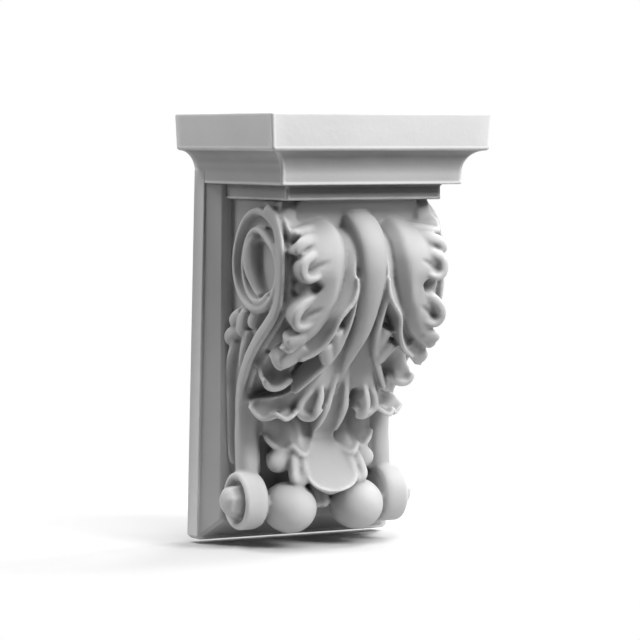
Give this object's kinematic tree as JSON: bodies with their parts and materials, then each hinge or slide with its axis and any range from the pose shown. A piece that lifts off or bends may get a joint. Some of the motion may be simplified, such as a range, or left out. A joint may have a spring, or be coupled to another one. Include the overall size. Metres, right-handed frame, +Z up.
{
  "type": "wall corbel",
  "caption": "Cast plaster wall corbel: moulded top over a scrolled bracket with side volutes, an acanthus leaf, rolls and balls at the foot, and a tapered back plate.",
  "frame": {"origin": "middle of the flat back that meets the wall", "axes": "+Z up, +Y into the wall, so the bracket reaches out to -Y; +X to the right seen from the front"},
  "size_m": [0.17, 0.149, 0.3],
  "materials": {
    "plaster": "matte"
  },
  "bodies": {
    "root": {"corbel": "plaster"}
  },
  "joints": []
}
